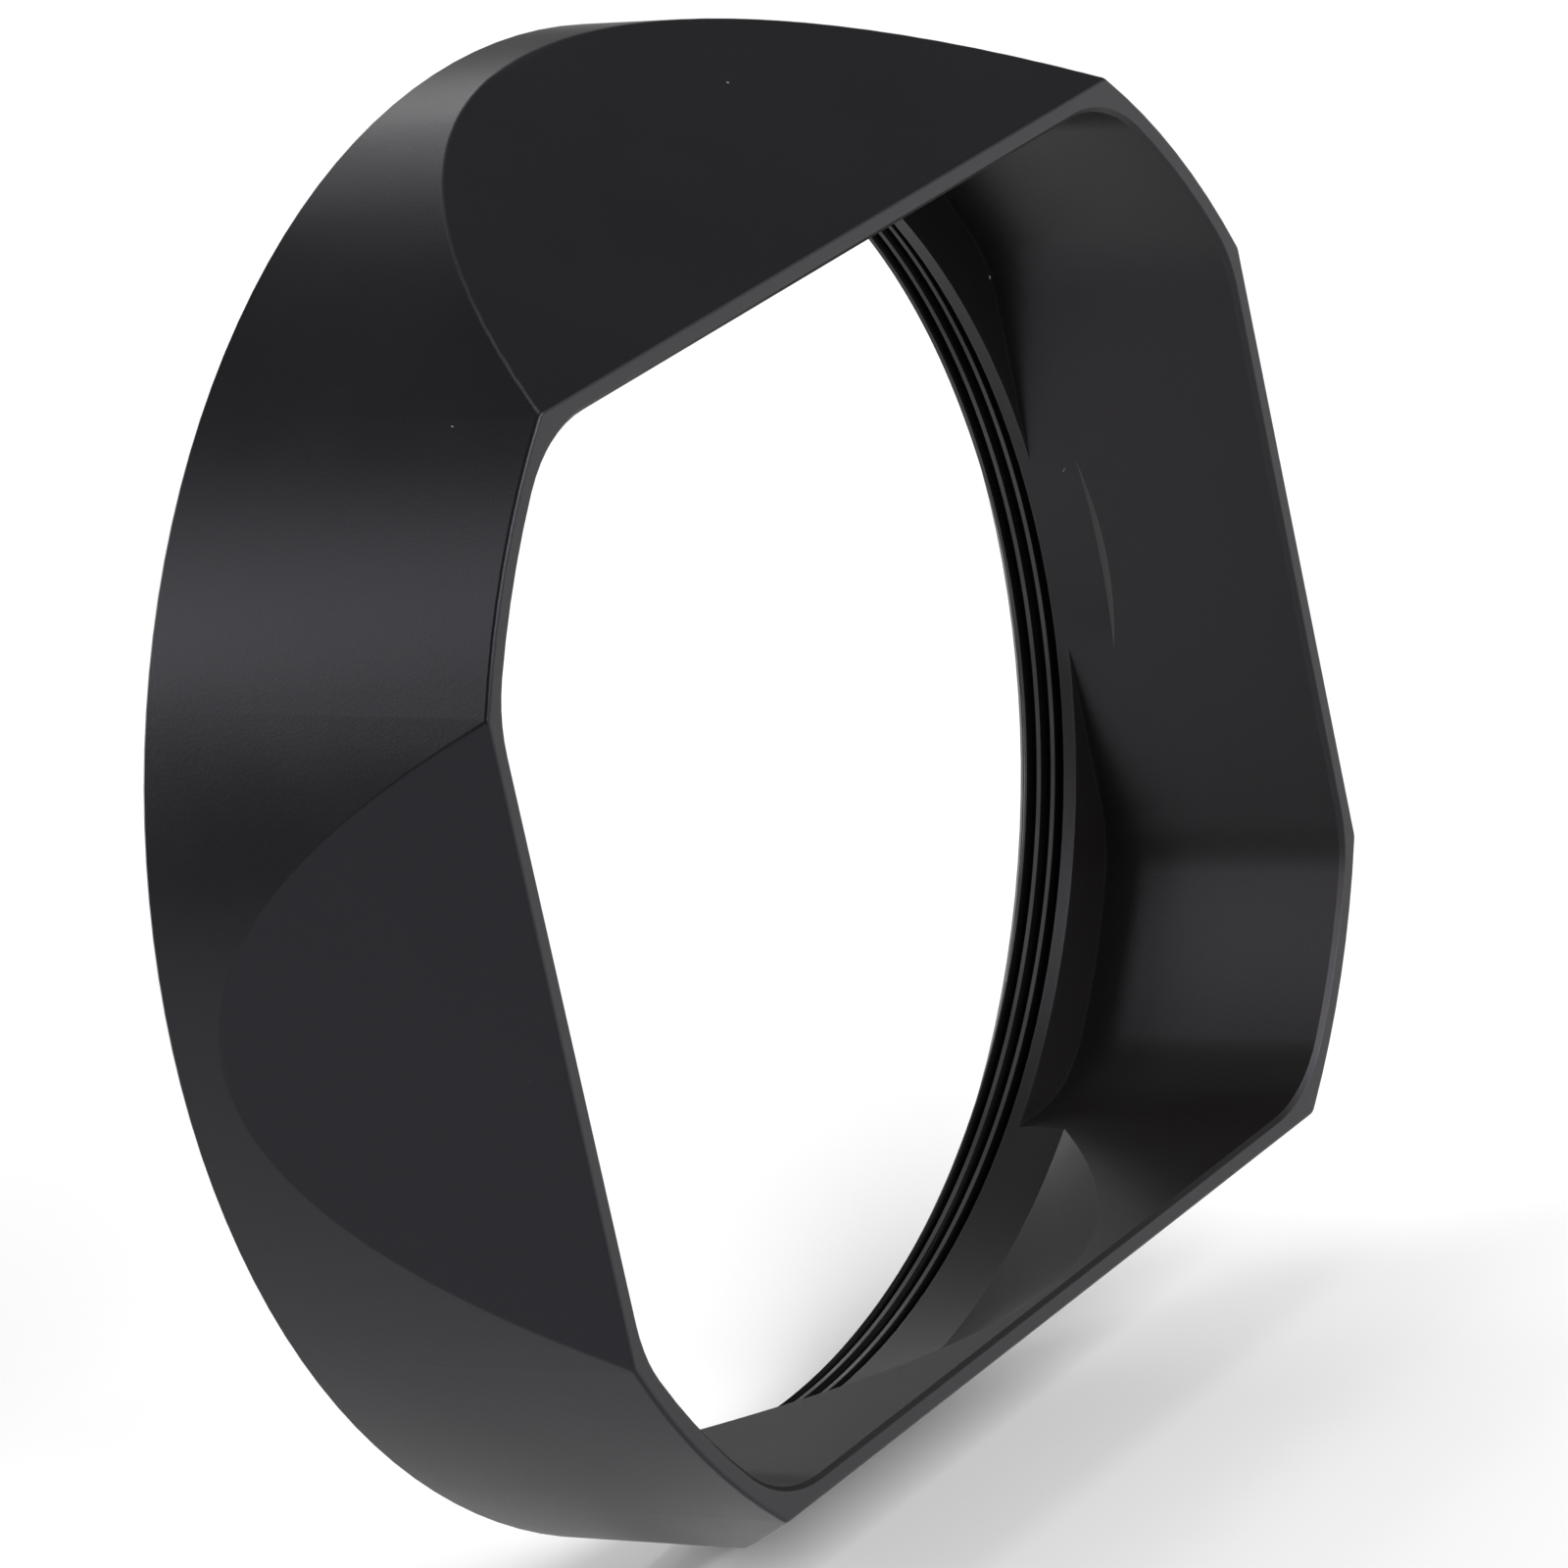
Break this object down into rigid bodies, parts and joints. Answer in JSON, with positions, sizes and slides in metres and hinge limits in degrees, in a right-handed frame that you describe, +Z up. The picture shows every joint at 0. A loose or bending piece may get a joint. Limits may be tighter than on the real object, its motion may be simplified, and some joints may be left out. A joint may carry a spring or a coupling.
{
  "type": "lens hood",
  "caption": "Screw-on lens hood in black anodised aluminium: round threaded rear, four tapered flats and a rectangular front opening; the shell turns on its collar to be squared up.",
  "frame": {"origin": "centre of the rear end of the collar's thread, where the lens enters", "axes": "+Y is the optical axis pointing back to the lens, so the front opening faces -Y; X lies along the opening's long side; +Z is up"},
  "size_m": [0.064, 0.0172, 0.064],
  "materials": {
    "shell_black": "satin black anodised, fine bead-blasted grain",
    "collar_black": "black anodised over a turned thread",
    "ring_black": "black anodised, faint lathe rings",
    "spring_steel": "bright spring temper"
  },
  "bodies": {
    "collar": {"thread_collar": "collar_black"},
    "hood": {"hood_shell": "shell_black", "retaining_ring": "ring_black", "spring_washer": "spring_steel"}
  },
  "joints": [
    {"name": "hood_turn", "type": "hinge", "parent": "collar", "child": "hood", "pos_m": [0, 0, 0], "axis": [0, -1, 0], "continuous": true}
  ]
}
